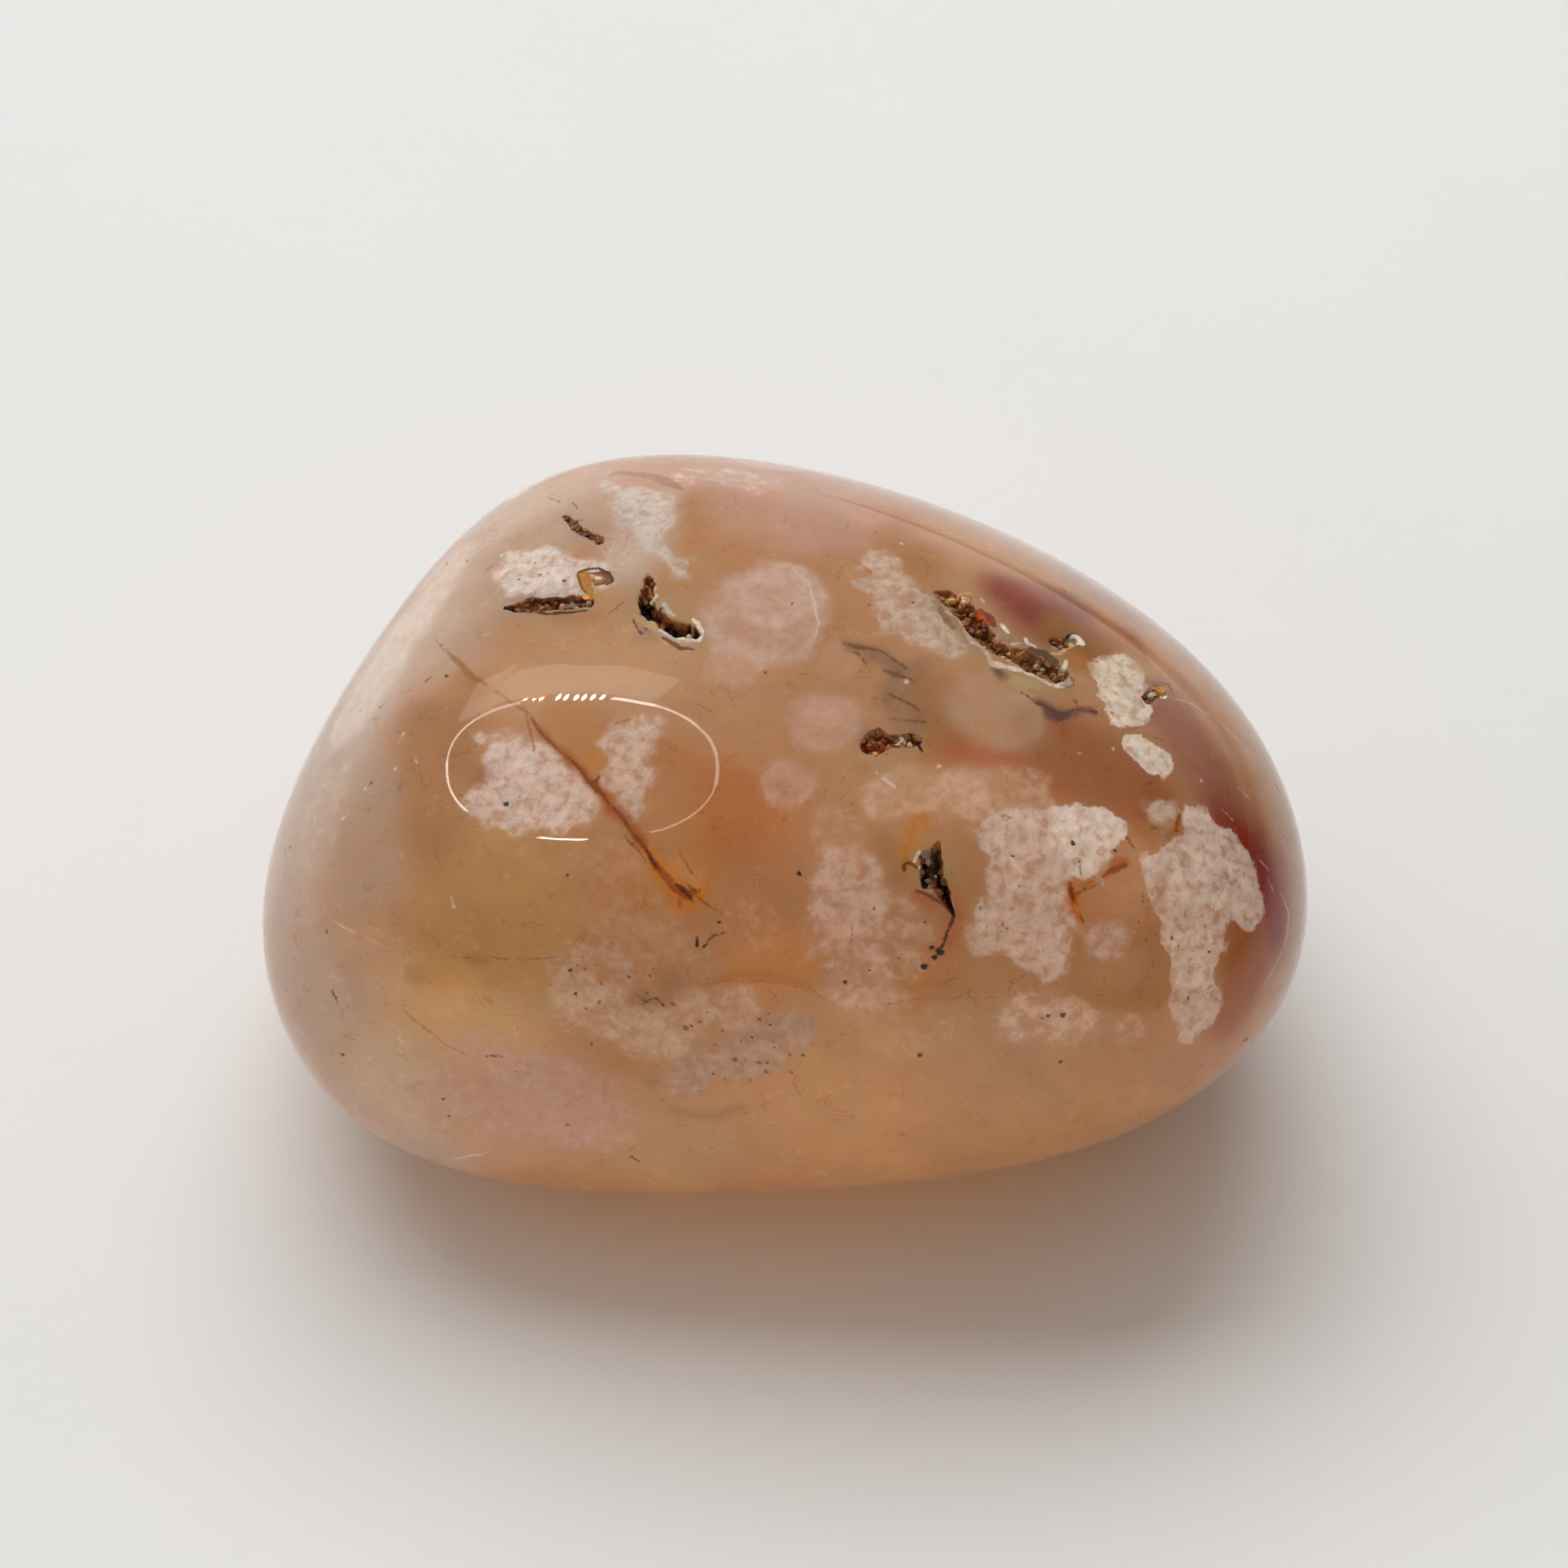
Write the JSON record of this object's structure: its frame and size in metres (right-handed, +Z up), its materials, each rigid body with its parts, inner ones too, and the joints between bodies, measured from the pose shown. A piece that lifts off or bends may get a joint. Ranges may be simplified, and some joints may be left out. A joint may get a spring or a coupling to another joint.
{
  "type": "tumbled stone",
  "caption": "Polished tumbled pebble of translucent flower agate with pale plumes and small crystal-lined pits; rests on a small flat spot.",
  "frame": {"origin": "on the small flat spot under the stone, below its heart", "axes": "+X along the stone's length towards its narrower end, +Y away from the side with most of the pits, +Z up from the surface it rests on"},
  "size_m": [0.039, 0.0281, 0.0213],
  "materials": {
    "stone": "high polish over translucent amber and peach chalcedony with pinkish-white plumes, rusty veins and dull crystal-lined pits"
  },
  "bodies": {
    "root": {"stone": "stone"}
  },
  "joints": []
}
